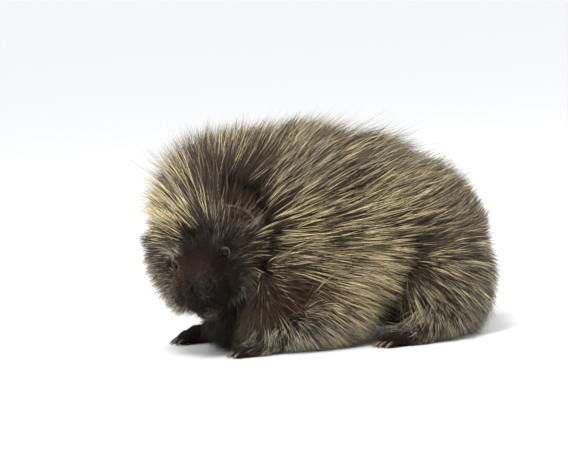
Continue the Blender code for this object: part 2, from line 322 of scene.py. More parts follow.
def add_paws(bm):
    for _, heel, toes_way, size, count in PAWS:
        at = paw_frame(heel, toes_way)
        palm = Matrix.Translation([a * b for a, b in zip(size, PALM_MIDDLE)])
        add_form(bm, at @ palm, [a * b for a, b in zip(size, PALM_RADII)])
        for k in range(count):
            add_limb(bm, toe(k, count, *size)[:3], TOE_RADII, at)


def settle(obj):
    """Replaces an object's mesh with its evaluated one, and drops the modifiers."""
    graph = bpy.context.evaluated_depsgraph_get()
    mesh = bpy.data.meshes.new_from_object(obj.evaluated_get(graph))
    obj.modifiers.clear()
    obj.data = mesh


bm = bmesh.new()
for add in (add_trunk_and_neck, add_head, add_ears, add_limbs, add_paws):
    add(bm)
for vert in bm.verts:
    vert.co = place(vert.co)
skin = new_object("skin", bm)
remesh = skin.modifiers.new("fuse", "REMESH")
remesh.mode = "VOXEL"
remesh.voxel_size = SKIN_VOXEL * MM
smooth = skin.modifiers.new("smooth", "SMOOTH")
smooth.factor = 0.5
smooth.iterations = 3
settle(skin)


def to_plan(points):
    """Places in metres, as points of the floor plan in millimetres."""
    return points / MM + np.array(MIDDLE)


def to_metres(plan):
    return (plan - np.array(MIDDLE)) * MM


def in_frame(points, at):
    """Places in metres, as points in millimetres of a frame on the floor plan."""
    back = np.array(at.inverted())
    return to_plan(points) @ back[:3, :3].T + back[:3, 3]


def fold(h):
    """Both sides of the head or body laid over each other."""
    return np.stack((h[:, 0], np.abs(h[:, 1]), h[:, 2]), 1)


def rows_of(mesh, key):
    """The place or normal of each point of a mesh."""
    rows = np.empty(len(mesh.vertices) * 3, np.float32)
    mesh.vertices.foreach_get(key, rows)
    return rows.reshape(-1, 3).astype(float)


def refine(obj, wanted):
    """Splits the faces whose points are wanted, so that the face can be worked finely."""
    chosen = wanted(in_frame(rows_of(obj.data, "co"), HEAD))
    bm = bmesh.new()
    bm.from_mesh(obj.data)
    bm.verts.ensure_lookup_table()
    edges = [e for e in bm.edges if chosen[e.verts[0].index] and chosen[e.verts[1].index]]
    bmesh.ops.subdivide_edges(bm, edges=edges, cuts=1, use_grid_fill=True)
    bmesh.ops.triangulate(bm, faces=[f for f in bm.faces if len(f.verts) > 4])
    bm.to_mesh(obj.data)
    bm.free()


FACE_BACK, FACE_SIDE, FACE_TOP, FACE_BOTTOM = -22, 46, 34, -62
MUZZLE_FRONT = (30, 42)
EYE_AT = (1.0, 27.0, 0.0)
EYE_RADIUS = 6.2
ROUND_EYES, ROUND_LIDS = 14.0, 9.5


def on_face(h):
    high = (h[:, 2] < FACE_TOP) & (h[:, 2] > FACE_BOTTOM)
    return (h[:, 0] > FACE_BACK) & (np.abs(h[:, 1]) < FACE_SIDE) & high


def eye_middle(side):
    return Vector((EYE_AT[0], side * EYE_AT[1], EYE_AT[2]))


def from_eye(h):
    return np.linalg.norm(fold(h) - EYE_AT, axis=1)


refine(skin, on_face)
refine(skin, lambda h: (from_eye(h) < ROUND_EYES) | (h[:, 0] > MUZZLE_FRONT[0]))
refine(skin, lambda h: from_eye(h) < ROUND_LIDS)


def ramp(x, low, high):
    """0 below low, 1 above high, and smooth between."""
    t = np.clip((x - low) / (high - low), 0.0, 1.0)
    return t * t * (3 - 2 * t)


GAZE = {1: Vector((0.80, 0.57, 0.16)).normalized(), -1: Vector((0.66, -0.74, 0.08)).normalized()}
LID_OPEN = (math.radians(56), math.radians(50))


def eye_angles(h, side):
    """How far each point turns from an eye's gaze, as a share of the lids' opening, and how
    far it is from the eye's middle."""
    gaze = np.array(GAZE[side])
    across = np.cross(gaze, (0, 0, 1.0))
    across /= np.linalg.norm(across)
    upward = np.cross(across, gaze)
    away = h - np.array(eye_middle(side))
    distance = np.linalg.norm(away, axis=1)
    angle = np.arccos(np.clip(away @ gaze / np.maximum(distance, 1e-6), -1, 1))
    turn = np.arctan2(away @ upward, away @ across)
    opening = 1 / np.sqrt((np.cos(turn) / LID_OPEN[0]) ** 2 + (np.sin(turn) / LID_OPEN[1]) ** 2)
    return angle / opening, distance, away


LID_REACH = 15
LID_CLEAR = 0.45
LID_THICK, LID_RIM, LID_RIM_WIDE = 0.8, 1.24, 0.17
LID_TUCK = 1.6
LID_EDGE = (0.92, 1.06)
LID_FADE = (1.40, 2.1)


def work_lids(h):
    """Wraps the skin round each eyeball, with a thick rim along the lids' edges."""
    for side in (-1, 1):
        share, distance, away = eye_angles(h, side)
        near = distance < LID_REACH
        rim = LID_THICK * np.exp(-(((share - LID_RIM) / LID_RIM_WIDE) ** 2))
        rim = EYE_RADIUS + LID_CLEAR + rim
        inside = EYE_RADIUS - LID_TUCK
        wanted = inside + (rim - inside) * ramp(share, *LID_EDGE)
        hold = 1 - ramp(share, *LID_FADE)
        radius = distance * (1 - hold) + wanted * hold
        h[near] += (away * (radius / np.maximum(distance, 1e-6) - 1)[:, None])[near]
    return h


# in the head's frame, in millimetres
NOSE_MIDDLE = 2.0
NOSTRIL_OUT, NOSTRIL_HEIGHT = 11.5, -10.5
NOSTRIL_SLANT, NOSTRIL_WIDE, NOSTRIL_HIGH = 0.35, 2.3, 4.6
NOSTRIL_WING, WING_SPREAD, NOSTRIL_DEEP = 1.5, 3.5, 6.5
GROOVE_FROM, GROOVE_TO = (19, 24), (42, 46)
GROOVE_DEEP, GROOVE_WIDE = 1.2, 1.1
MOUTH_FRONT, MOUTH_AT, MOUTH_SLOPE = -47.5, 44.0, 0.17
MOUTH_DEEP, MOUTH_WIDE, MOUTH_CORNER = 3.8, 1.7, (0, 14)
CHIN_BACK, CHIN_EDGE = 2.2, (0.5, 4.0)
MOUTH_MIDDLE = 8.0


def work_muzzle(h):
    """Sinks the nostrils, the groove under the nose and the line of the closed mouth."""
    ahead_of = ramp(h[:, 0], *MUZZLE_FRONT)
    for side in (-1, 1):
        along = h[:, 2] - NOSTRIL_HEIGHT
        across = h[:, 1] - NOSE_MIDDLE - side * NOSTRIL_OUT + side * NOSTRIL_SLANT * along
        r2 = (across / NOSTRIL_WIDE) ** 2 + (along / NOSTRIL_HIGH) ** 2
        wing = NOSTRIL_WING * np.exp(-r2 / WING_SPREAD)
        h[:, 0] += ahead_of * (wing - NOSTRIL_DEEP * np.exp(-(r2**1.5)))
    below_nose = ramp(-h[:, 2], *GROOVE_FROM) * (1 - ramp(-h[:, 2], *GROOVE_TO))
    groove = np.exp(-(((h[:, 1] - NOSE_MIDDLE) / GROOVE_WIDE) ** 2))
    h[:, 0] -= ahead_of * GROOVE_DEEP * below_nose * groove
    off_line = h[:, 2] - (MOUTH_FRONT + (MOUTH_AT - h[:, 0]) * MOUTH_SLOPE)
    front = ramp(h[:, 0], *MOUTH_CORNER)
    line = front * MOUTH_DEEP * np.exp(-((off_line / MOUTH_WIDE) ** 2))
    inward = np.stack([np.full(len(h), MOUTH_MIDDLE), np.zeros(len(h)), h[:, 2]], 1) - h
    inward /= np.maximum(np.linalg.norm(inward, axis=1), 1e-6)[:, None]
    h += inward * line[:, None]
    h += inward * (front * CHIN_BACK * ramp(-off_line, *CHIN_EDGE))[:, None]
    return h


def ear_points(plan, side):
    """An ear's frame, and the points in it."""
    at = np.array(ear_frame(side))
    return at, (plan - at[:3, 3]) @ at[:3, :3]


HOLLOW_OUT, HOLLOW_LONG, HOLLOW_WIDE = 5, 9.0, 18.0
HOLLOW_DEEP, HOLLOW_BLUNT = 2.8, 0.7
EAR_FRONT = 8


def work_ears(plan):
    """Hollows the front of each ear's disc."""
    for side in (-1, 1):
        at, local = ear_points(plan, side)
        rho2 = ((local[:, 0] - HOLLOW_OUT) / HOLLOW_LONG) ** 2 + (local[:, 1] / HOLLOW_WIDE) ** 2
        in_front = (local[:, 2] > 0) & (local[:, 2] < EAR_FRONT)
        sink = HOLLOW_DEEP * np.clip(1 - rho2, 0, 1) ** HOLLOW_BLUNT * in_front
        plan = plan - sink[:, None] * at[:3, 2]
    return plan


HEAD_FROM, HEAD_REACH = -24, (50, 65)

plan = work_ears(to_plan(rows_of(skin.data, "co")))
head_points = in_frame(to_metres(plan), HEAD)
of_head = (head_points[:, 0] > HEAD_FROM) & (np.abs(head_points[:, 1:]) < HEAD_REACH).all(1)
worked = work_muzzle(work_lids(head_points[of_head].copy()))
turned = np.array(HEAD)
plan[of_head] = worked @ turned[:3, :3].T + turned[:3, 3]
plan[:, 2] = np.maximum(plan[:, 2], 0.0)
skin.data.vertices.foreach_set("co", to_metres(plan).astype(np.float32).ravel())
skin.data.update()
skin.data.shade_smooth()

SKIN_NODES = ("head", "lower_jaw", "nose", "ear_left", "ear_right", "neck", "trunk", "tail",
              "foreleg_left", "foreleg_right", "forepaw_left", "forepaw_right",
              "hindleg_left", "hindleg_right", "hindpaw_left", "hindpaw_right")


def patch(points, centre, radii):
    """1 in the middle of a soft-edged patch, easing to 0 outside it."""
    return np.exp(-(((points - np.array(centre)) / np.array(radii)) ** 2).sum(1))


def give(mesh, name, values):
    """Puts a value for each point on a mesh, under a name that materials and trees can read."""
    kind, key = ("FLOAT_VECTOR", "vector") if values.ndim == 2 else ("FLOAT", "value")
    attribute = mesh.attributes.new(name, kind, "POINT")
    attribute.data.foreach_set(key, values.astype(np.float32).ravel())


# centre | radii | share
RUSSET_ON_HEAD = (
    ((26, 4, 3), (17, 11, 9), 0.65),
    ((-20, 47, -18), (15, 10, 18), 0.20),
    ((-40, 50, 22), (16, 24, 18), 0.75),
    ((-4, 38, -34), (14, 10, 12), 0.35),
)
RUSSET_ON_RIGHT = ((22, -22, -4), (24, 8, 20))
RUSSET_ON_BODY = (
    ((-32, -98, 66), (32, 24, 20), 0.9),
    ((24, -92, 60), (24, 24, 22), 0.5),
    ((112, -100, 44), (22, 20, 22), 0.4),
)
ASHEN = (
    ((-52, -108, 28), (50, 30, 24)),
    ((112, -100, 26), (40, 26, 24)),
    ((-100, 62, 24), (40, 26, 24)),
    ((96, 128, 22), (36, 24, 20)),
)
NOSE_TIP = ((52, 9, -13), (11, 16, 14))
UNDER_NOSE, UNDER_NOSE_SHARE = ((50, 6, -30), (10, 16, 12)), 0.8
LIP = ((40, 0, -53), (16, 15, 6.5))
ASHEN_SHARE = 1.2
RIM_EDGE, RIM_FADE, RIM_REACH = (0.98, 1.05), (1.18, 1.36), 10
SOLE_EDGE = (1.0, 3.5)


def patches(points, rows):
    return sum(share * patch(points, at, radii) for at, radii, share in rows)


def markings(points):
    """Russet fields, the grey of the lower legs, the pale rims of the lids, the dark nose and
    soles, and the pale lower lip."""
    plan = to_plan(points)
    h = in_frame(points, HEAD)
    folded = fold(h)
    russet = patches(folded, RUSSET_ON_HEAD) + patch(h, *RUSSET_ON_RIGHT)
    russet = russet + patches(plan, RUSSET_ON_BODY)
    ashen = ASHEN_SHARE * sum(patch(plan, *spot) for spot in ASHEN)
    lid = np.zeros(len(points))
    for side in (-1, 1):
        share, distance, _ = eye_angles(h, side)
        ring = ramp(share, *RIM_EDGE) * (1 - ramp(share, *RIM_FADE))
        lid = np.maximum(lid, ring * (distance < RIM_REACH))
    nose = np.maximum(patch(folded, *NOSE_TIP), UNDER_NOSE_SHARE * patch(folded, *UNDER_NOSE))
    return {
        "russet": np.clip(russet, 0, 1),
        "ashen": np.clip(ashen, 0, 1),
        "lid": lid,
        "nose": np.clip(nose, 0, 1),
        "lip": patch(folded, *LIP),
        "sole": 1 - ramp(plan[:, 2], *SOLE_EDGE),
    }


skin_points = rows_of(skin.data, "co")
for name, values in markings(skin_points).items():
    give(skin.data, name, values)


def new_group(name, tree_type, inputs, outputs):
    """An empty node group with named inputs and outputs, and the sockets of its inputs."""
    group = bpy.data.node_groups.new(name, tree_type)
    new_socket = group.interface.new_socket
    for title, kind, value in inputs:
        socket = new_socket(title, in_out="INPUT", socket_type="NodeSocket" + kind)
        if value is not None:
            socket.default_value = value
    for title, kind in outputs:
        new_socket(title, in_out="OUTPUT", socket_type="NodeSocket" + kind)
    return group, group.nodes.new("NodeGroupInput").outputs


def marking(tree, name):
    return put(tree, "ShaderNodeAttribute", attribute_name=name).outputs["Fac"]


def noise(tree, scale, detail):
    spot = tree.nodes.new("ShaderNodeTexCoord").outputs["Object"]
    inputs = {"Vector": spot, "Scale": scale, "Detail": detail}
    return put(tree, "ShaderNodeTexNoise", inputs).outputs["Fac"]


def blend(tree, share, start, end):
    """A colour that goes from one to another with the share."""
    return put(tree, "ShaderNodeMix", {0: share, 6: start, 7: end}, data_type="RGBA").outputs[2]


def dim(tree, colour, share):
    inputs = {0: colour, "Scale": share}
    return put(tree, "ShaderNodeVectorMath", inputs, operation="SCALE").outputs[0]


def number(tree, operation, *values):
    """One step of reckoning with one, two or three numbers."""
    inputs = dict(enumerate(values))
    return put(tree, "ShaderNodeMath", inputs, operation=operation).outputs[0]


def map_range(tree, value, low, high, start=0.0, end=1.0, **settings):
    """Start where the value is low, end where it is high, and even steps between."""
    inputs = {"Value": value, "From Min": low, "From Max": high, "To Min": start, "To Max": end}
    return put(tree, "ShaderNodeMapRange", inputs, **settings).outputs[0]


NOISE_SPAN, TONE_SPAN = (0.6, 1.4), (0.62, 1.38)


def weathering():
    """Uneven tone, fine grain and pebbled relief for skin, pads and horn."""
    group, given = new_group("weathering", "ShaderNodeTree", (
        ("Blotch Scale", "Float", 60.0),
        ("Grain Scale", "Float", 700.0),
        ("Pebble Scale", "Float", 900.0),
        ("Pebbles", "Float", 0.0),
    ), (("Tone", "Float"), ("Height", "Float")))
    blotch = noise(group, given["Blotch Scale"], detail=4.0)
    grain = noise(group, given["Grain Scale"], detail=3.0)
    spot = group.nodes.new("ShaderNodeTexCoord").outputs["Object"]
    pebble = put(group, "ShaderNodeTexVoronoi", {"Vector": spot, "Scale": given["Pebble Scale"]})
    tone = map_range(group, number(group, "ADD", blotch, grain), *NOISE_SPAN, *TONE_SPAN)
    domes = number(group, "MULTIPLY", pebble.outputs["Distance"], given["Pebbles"])
    put(group, "NodeGroupOutput", {0: tone, 1: number(group, "SUBTRACT", grain, domes)})
    return group


def worn(tree, inputs, strength, height):
    """The tone of worn skin or horn, and the normal of its relief."""
    wear = put(tree, "ShaderNodeGroup", inputs, node_tree=WEATHERING).outputs
    relief = {"Height": wear["Height"], "Strength": strength, "Distance": height}
    return wear["Tone"], put(tree, "ShaderNodeBump", relief).outputs[0]


WEATHERING = weathering()

HIDE_BROWN = (0.024, 0.016, 0.012, 1.0)
HIDE_RUSSET = (0.060, 0.030, 0.018, 1.0)
HIDE_ASHEN = (0.055, 0.046, 0.036, 1.0)
LID_GREY = (0.095, 0.080, 0.070, 1.0)
LIP_GREY = (0.110, 0.088, 0.072, 1.0)
NOSE_BLACK = (0.008, 0.006, 0.006, 1.0)
SOLE_GREY = (0.045, 0.035, 0.030, 1.0)
ROUGHNESS_DRY_TO_MOIST = (0.72, 0.45)

material, tree = new_material("skin")
colour = HIDE_BROWN
for name, tint in (("russet", HIDE_RUSSET), ("ashen", HIDE_ASHEN), ("sole", SOLE_GREY),
                   ("nose", NOSE_BLACK), ("lip", LIP_GREY), ("lid", LID_GREY)):
    colour = blend(tree, marking(tree, name), colour, tint)
tone, relief = worn(tree, {"Pebbles": 0.8}, strength=0.5, height=0.0004)
shade(tree, {
    "Base Color": dim(tree, colour, tone),
    "Roughness": map_range(tree, marking(tree, "nose"), 0.0, 1.0, *ROUGHNESS_DRY_TO_MOIST),
    "Normal": relief,
    "Specular IOR Level": 0.25,
})
skin.data.materials.clear()
skin.data.materials.append(material)
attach(skin, "root")
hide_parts(*SKIN_NODES)

# ---------------------------------------------------------------- eyes
# Each eye is a polished ball set into the head under the lids: a wide black pupil, a dark
# brown iris round it, and a clear cornea that stands a little proud of the white.

EYEBALL = 6.15
CORNEA_ANGLE = math.radians(50)
CORNEA_RISE, CORNEA_FLAT = 0.35, 0.55
EYE_RINGS, EYE_SEGMENTS = 40, 48
# edges of the pupil and of the white, in radians from the gaze
PUPIL_EDGE, WHITE_EDGE = (0.42, 0.52), (0.98, 1.10)
PUPIL_BLACK = (0.0015, 0.0012, 0.001, 1.0)
IRIS_DARK, IRIS_BROWN = (0.004, 0.0025, 0.002, 1.0), (0.010, 0.006, 0.004, 1.0)
EYE_WHITE = (0.05, 0.035, 0.03, 1.0)
IRIS_FIBRES = 1500.0


def make_eye(name, side):
    """A ball on its gaze, with how far each point is from the gaze kept for its colours."""
    bm = bmesh.new()
    bmesh.ops.create_uvsphere(bm, u_segments=EYE_SEGMENTS, v_segments=EYE_RINGS, radius=1.0)
    off_gaze = bm.verts.layers.float.new("off_gaze")
    gaze = GAZE[side].to_track_quat("Z", "Y")
    middle = eye_middle(side)
    for vert in bm.verts:
        angle = vert.co.angle(Vector((0, 0, 1)))
        vert[off_gaze] = angle
        bulge = CORNEA_RISE * (1 - ramp(angle, CORNEA_FLAT * CORNEA_ANGLE, CORNEA_ANGLE))
        vert.co = place(HEAD @ (middle + gaze @ (vert.co * (EYEBALL + bulge))))
    return new_object(name, bm)


material, tree = new_material("eye")
off = marking(tree, "off_gaze")
iris = blend(tree, noise(tree, IRIS_FIBRES, detail=3.0), IRIS_DARK, IRIS_BROWN)
colour = blend(tree, map_range(tree, off, *PUPIL_EDGE), PUPIL_BLACK, iris)
colour = blend(tree, map_range(tree, off, *WHITE_EDGE), colour, EYE_WHITE)
shade(tree, {"Base Color": colour, "Roughness": 0.06, "Specular IOR Level": 0.20})
for name, side in (("eye_left", 1), ("eye_right", -1)):
    eyeball = make_eye("eyeball_" + name[4:], side)
    eyeball.data.materials.append(material)
    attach(eyeball, "root")
    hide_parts(name)

# ---------------------------------------------------------------- claws
# Long curved claws of dark horn grow from the toes, four on each fore paw and five on each
# hind paw. Each is a solid tapered hook, thicker from top to bottom than from side to side.

CLAW_RINGS, CLAW_SIDES = 11, 10
CLAW_THICK, CLAW_WIDE = 2.3, 1.6
CLAW_REACH = {FORE_SIZE: 14.5, HIND_SIZE: 16.5}
CLAW_TIP_HEIGHT = 0.6
CLAW_RISE, CLAW_SET_IN = 0.6, 3.0
CLAW_ARCH, ARCH_EASE = 3.4, 0.35
CLAW_BLUNT = 0.06
HORN_AT_ROOT, HORN_AT_TIP = (0.020, 0.014, 0.011, 1.0), (0.20, 0.14, 0.085, 1.0)


def join_rings(bm, rings):
    """Faces from each ring of points to the next."""
    for a, b in zip(rings, rings[1:]):
        for side in range(len(a)):
            after = (side + 1) % len(a)
            bm.faces.new((a[side], a[after], b[after], b[side]))


def add_claw(bm, at, root, way, reach):
    """Sweeps an oval, shrinking to a blunt point, along an arc that rises and comes down."""
    along = bm.verts.layers.float["along"]
    rings = []
    for k in range(CLAW_RINGS):
        t = k / (CLAW_RINGS - 1)
        arch = CLAW_ARCH * math.sin(math.pi * t) * (1 - ARCH_EASE * t)
        rise = root.z * (1 - t) + CLAW_TIP_HEIGHT * t + arch
        middle = Vector((root.x, root.y, 0.0)) + way * (reach * t - CLAW_SET_IN)
        middle += Vector((0, 0, rise))
        climb = CLAW_TIP_HEIGHT - root.z + CLAW_ARCH * math.pi * math.cos(math.pi * t)
        slope = math.atan2(climb, reach)
        taper = (1 - t**1.8) ** 0.6 * (1 - CLAW_BLUNT) + CLAW_BLUNT
        across = Vector((-way.y, way.x, 0.0))
        upward = Vector((0, 0, 1)) * math.cos(slope) - way * math.sin(slope)
        ring = []
        for side in range(CLAW_SIDES):
            turn = math.tau * side / CLAW_SIDES
            out = across * math.cos(turn) * CLAW_WIDE + upward * math.sin(turn) * CLAW_THICK
            vert = bm.verts.new(place(at @ (middle + out * taper)))
            vert[along] = t
            ring.append(vert)
        rings.append(ring)
    join_rings(bm, rings)
    bm.faces.new(rings[0])
    bm.faces.new(rings[-1])


material, tree = new_material("claw_horn")
horn = put(tree, "ShaderNodeValToRGB", {"Fac": marking(tree, "along")})
root, tip = horn.color_ramp.elements
root.position, root.color = 0.05, HORN_AT_ROOT
tip.position, tip.color = 1.0, HORN_AT_TIP
fine = {"Blotch Scale": 260.0, "Grain Scale": 1400.0}
tone, relief = worn(tree, fine, strength=0.35, height=0.0002)
shade(tree, {"Base Color": dim(tree, horn.outputs[0], tone), "Roughness": 0.38, "Normal": relief})
for name, heel, toes_way, size, count in PAWS:
    bm = bmesh.new()
    bm.verts.layers.float.new("along")
    for k in range(count):
        _, _, pad, splay = toe(k, count, *size)
        root = pad + Vector((0, 0, CLAW_RISE))
        add_claw(bm, paw_frame(heel, toes_way), root, splay, CLAW_REACH[size])
    bmesh.ops.recalc_face_normals(bm, faces=bm.faces)
    claws = new_object("claws_" + name, bm)
    claws.data.materials.append(material)
    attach(claws, "root")

# ---------------------------------------------------------------- lie of the coat
# Each place on the body has its own hair: how long it is, how far it stands off the skin,
# which way it lies and how pale its tips are; at a few places that paleness is painted shade or
# a painted highlight. Between the places these run smoothly together.

BODY_MIDDLE = np.array((-8.0, 2.0, 0.0))

# along the spine, out from it, height | reach | lie (tailward, outward, up) | lift, length, pale
BODY_PLACES = (
    ((-70, 0, 205), 34, (1.0, 0.0, 0.0), 74, 62, 0.42),
    ((-20, 0, 214), 38, (1.0, 0.0, 0.0), 66, 64, 0.36),
    ((40, 0, 200), 38, (1.0, 0.0, 0.10), 60, 60, 0.36),
    ((95, 0, 172), 36, (1.0, 0.0, 0.15), 76, 56, 0.40),
    ((150, 0, 128), 34, (0.65, 0.0, 0.75), 80, 52, 0.30),
    ((-45, 60, 180), 34, (0.85, 0.1, 0.55), 54, 62, 0.46),
    ((-40, 88, 120), 34, (0.95, 0.1, 0.0), 32, 54, 0.46),
    ((30, 70, 175), 34, (0.88, 0.05, 0.50), 48, 62, 0.42),
    ((40, 100, 120), 34, (1.0, 0.05, 0.0), 28, 58, 0.72),
    ((10, 98, 76), 28, (0.9, 0.1, -0.35), 24, 56, 1.75),
    ((60, 96, 58), 22, (0.85, 0.1, -0.6), 24, 50, 0.60),
    ((-34, 92, 60), 22, (0.85, 0.1, -0.4), 26, 46, 0.0),
    ((90, 80, 145), 34, (0.85, 0.0, 0.62), 50, 56, 0.42),
    ((84, 92, 88), 22, (0.78, 0.1, -0.62), 24, 48, -0.22),
    ((132, 70, 118), 30, (0.75, 0.1, 0.72), 54, 50, 0.28),
    ((118, 92, 82), 20, (0.70, 0.1, -0.72), 26, 42, 0.60),
    ((140, 85, 56), 26, (0.7, 0.15, -0.7), 28, 38, 0.60),
    ((175, 50, 60), 30, (0.35, 0.1, -0.9), 30, 38, 0.50),
    ((20, 50, 30), 24, (0.7, 0.3, -0.7), 24, 32, 0.10),
    ((0, 0, 26), 30, (1.0, 0.0, 0.0), 12, 12, 0.05),
    ((-96, 20, 84), 26, (0.6, 0.2, -0.8), 26, 34, -0.25),
)
# forward from between the eyes, out to the side, up | the rest as above, in the head's frame
HEAD_PLACES = (
    ((53, 0, -8), 9, (-0.6, 0.1, 0.8), 12, 1.3, 0.0),
    ((24, 0, 12), 12, (-1.0, 0.05, 0.1), 12, 3.5, 0.05),
    ((38, 14, -30), 11, (-0.8, 0.4, -0.5), 15, 3.5, 0.0),
    ((16, 23, -14), 11, (-0.9, 0.3, -0.3), 15, 5.0, 0.05),
    ((26, 0, -58), 11, (-0.9, 0.1, -0.4), 25, 8.0, 0.50),
    ((42, 0, -50), 7, (-0.8, 0.1, -0.5), 14, 1.4, 1.2),
    ((6, 0, 16), 8, (-0.8, 0.3, 0.6), 24, 7.0, -0.30),
    ((-2, 28, 16), 8, (-0.7, 0.5, 0.6), 30, 9.0, 0.12),
    ((-50, 0, 43), 20, (-0.8, 0.2, 0.4), 78, 62, 0.42),
    ((-30, 44, 10), 9, (-0.8, 0.5, 0.3), 28, 13, 0.25),
    ((-2, 38, -12), 9, (-0.8, 0.5, -0.2), 20, 6.0, 0.05),
    ((-15, 45, -22), 11, (-0.8, 0.5, -0.2), 22, 8.5, 0.05),
    ((0, 37, -34), 10, (-0.7, 0.6, -0.4), 30, 28, 0.75),
    ((-36, 48, -18), 11, (-0.7, 0.6, -0.1), 38, 46, 0.90),
    ((-36, 44, -44), 14, (-0.5, 0.6, -0.5), 42, 48, 0.95),
    ((-52, 46, -4), 14, (-0.8, 0.5, 0.1), 42, 50, 0.60),
    ((-12, 28, -50), 12, (-0.6, 0.5, -0.6), 44, 32, 0.50),
    # painted shade: the throat under the head is darkened to stand for the shadow there
    ((-20, 0, -58), 15, (-0.4, 0.1, -0.9), 42, 36, -0.2),
)
# one side only, with out always to the left: on the left the jaw darkened by painted shade,
# the short brow in front of the ear and a painted shadow behind it. On the right the forehead
# paler, partly its own colour and partly painted light, the edge of the muzzle paled as a
# painted rim highlight, and the ruff that covers the ear
ONE_SIDE_PLACES = (
    # painted shade: the left jaw is darkened to stand for the shade under it
    ((-8, 29, -52), 10, (-0.6, 0.5, -0.6), 36, 28, -0.40),
    ((-14, 9, 28), 11, (-0.4, -0.55, 0.8), 54, 62, 0.62),
    ((-19, 28, 22), 10, (-0.4, -0.05, 0.85), 50, 50, 0.15),
    ((-20, 34, 19), 8, (-0.5, 0.5, 0.7), 40, 26, 0.32),
    ((-30, 43, 13), 9, (-0.6, 0.7, 0.4), 34, 19, 0.40),
    # painted shadow: dark hair behind the left ear stands for the shadow that falls there
    ((-56, 46, 26), 13, (-0.7, 0.4, 0.6), 36, 38, -0.60),
    ((-30, 30, 30), 8, (-0.6, 0.4, 0.8), 50, 26, 0.10),
    # paler right forehead: partly its own colour, partly painted light on the side the light comes
    # from
    ((-18, -18, 30), 15, (-0.4, -0.6, 0.8), 54, 66, 1.40),
    # painted rim highlight: the right edge of the muzzle is paled to stand for light catching it
    ((10, -27, -2), 8, (-0.9, -0.3, -0.3), 18, 4.5, 2.40),
    ((22, -27, -12), 8, (-0.9, -0.3, -0.3), 18, 5.5, 1.90),
    ((-30, -34, 24), 13, (-0.4, -0.8, 0.5), 58, 50, 0.9),
    ((-34, -47, 6), 12, (-0.3, -0.9, 0.2), 62, 44, 0.0),
    ((-44, -48, -16), 18, (-0.3, -0.9, 0.0), 66, 58, 0.40),
    ((-28, -38, -46), 17, (-0.2, -0.6, -0.8), 62, 66, 0.50),
    ((-12, -30, -50), 11, (-0.35, -0.6, -0.75), 56, 54, 0.50),
    ((-2, -36, -36), 9, (-0.4, -0.75, -0.5), 46, 42, 0.60),
    # paler right crown: partly its own colour, partly painted light on the side the light comes
    # from
    ((-38, -22, 46), 17, (-0.6, -0.5, 0.7), 66, 62, 1.12),
)
# over head and nape the hair fans out, up and sideways, from a point deep behind the brow: the
# more so the nearer, higher and longer it is, and the more the fan stands off the skin
FAN_AT = HEAD @ Vector((-8.0, 24.0, -8.0))
FAN_NEAR, FAN_FAR = 80.0, 170.0
FAN_HEIGHTS, FAN_LENGTHS, FAN_STANDS = (20.0, 60.0), (10.0, 26.0), (0.10, 0.50)
FAN_WIDE, FAN_BACK = 1.15, 0.42
# lift, length, pale
EAR_FUR = {1: (22, 5.5, 0.7), -1: (25, 5.5, 0.1)}
# path down a limb | reach | lift, length at its top and at its foot, pale
LIMB_PLACES = (
    (((-44, -68, 80), (-62, -88, 48), (-74, -102, 22)), 14, 34, (30, 16), 0.08),
    (((-62, 64, 50), (-90, 62, 26), (-120, 55, 15)), 14, 30, (28, 14), 0.25),
    (((128, -84, 34), (112, -96, 20)), 14, 36, (32, 18), 0.45),
    (((112, 116, 34), (96, 128, 18)), 14, 36, (32, 18), 0.45),
    (((150, 80, 52), (163, 110, 34), (158, 146, 22), (128, 177, 13)), 22, 30, (38, 20), 0.30),
)
# the left foreleg, chest and haunch, where the fur fans out as it hangs: as the body's table,
# but with places and ways on the floor plan
HANGING_PLACES = (
    ((-62, -92, 98), 13, (0.95, -0.1, -0.1), 34, 46, 0.45),
    ((-50, -104, 70), 13, (0.75, -0.1, -0.65), 32, 40, 0.0),
    ((-74, -80, 86), 9, (-0.25, -0.35, -0.9), 14, 30, 0.05),
    ((-74, -92, 64), 9, (-0.35, -0.25, -0.9), 18, 30, 0.30),
    # painted shade: the chest under the chin is darkened to stand for the shadow there
    ((-114, -62, 44), 16, (-0.40, -0.35, -0.85), 26, 34, -0.60),
    ((-96, -48, 14), 14, (-0.3, -0.2, -0.9), 16, 24, -0.60),
    ((-78, -116, 24), 12, (-0.85, -0.2, -0.45), 34, 22, 0.80),
    ((-58, -112, 34), 13, (-0.4, -0.3, -0.9), 36, 28, 0.80),
    ((-32, -112, 30), 15, (0.3, -0.2, -0.9), 38, 34, 0.80),
    ((-6, -108, 34), 16, (0.6, -0.2, -0.75), 38, 38, 0.80),
    ((24, -100, 38), 17, (0.75, -0.1, -0.7), 34, 42, 0.45),
    ((-16, -100, 68), 20, (0.85, -0.1, -0.5), 28, 40, 0.02),
    ((104, -100, 22), 11, (-0.1, -0.3, -1.0), 38, 22, 0.45),
    ((128, -94, 36), 14, (0.3, -0.2, -0.9), 34, 30, 0.40),
)
# reach | lift, length, pale, at these shares of the paw's length
PAW_FUR = (13, 18, 5.0, 0.10)
PAW_PLACES = (0.4, 0.8, 1.2)


def unit(rows):
    return rows / np.maximum(np.linalg.norm(rows, axis=-1, keepdims=True), 1e-9)


def soft_sign(x, width):
    return x / (np.abs(x) + width)


class Coat:
    """Gathers the hair of every place, weighted by how near each point of the skin lies to it."""

    def __init__(self, count):
        self.weight = np.full(count, 1e-9)
        self.lie = np.zeros((count, 3))
        self.values = np.zeros((count, 3))

    def add(self, offsets, reach, lies, lift, length, pale):
        near = np.exp(-0.5 * (offsets**2).sum(1) / reach**2)
        self.weight += near
        self.lie += near[:, None] * lies
        self.values += near[:, None] * np.array((lift, length, pale))


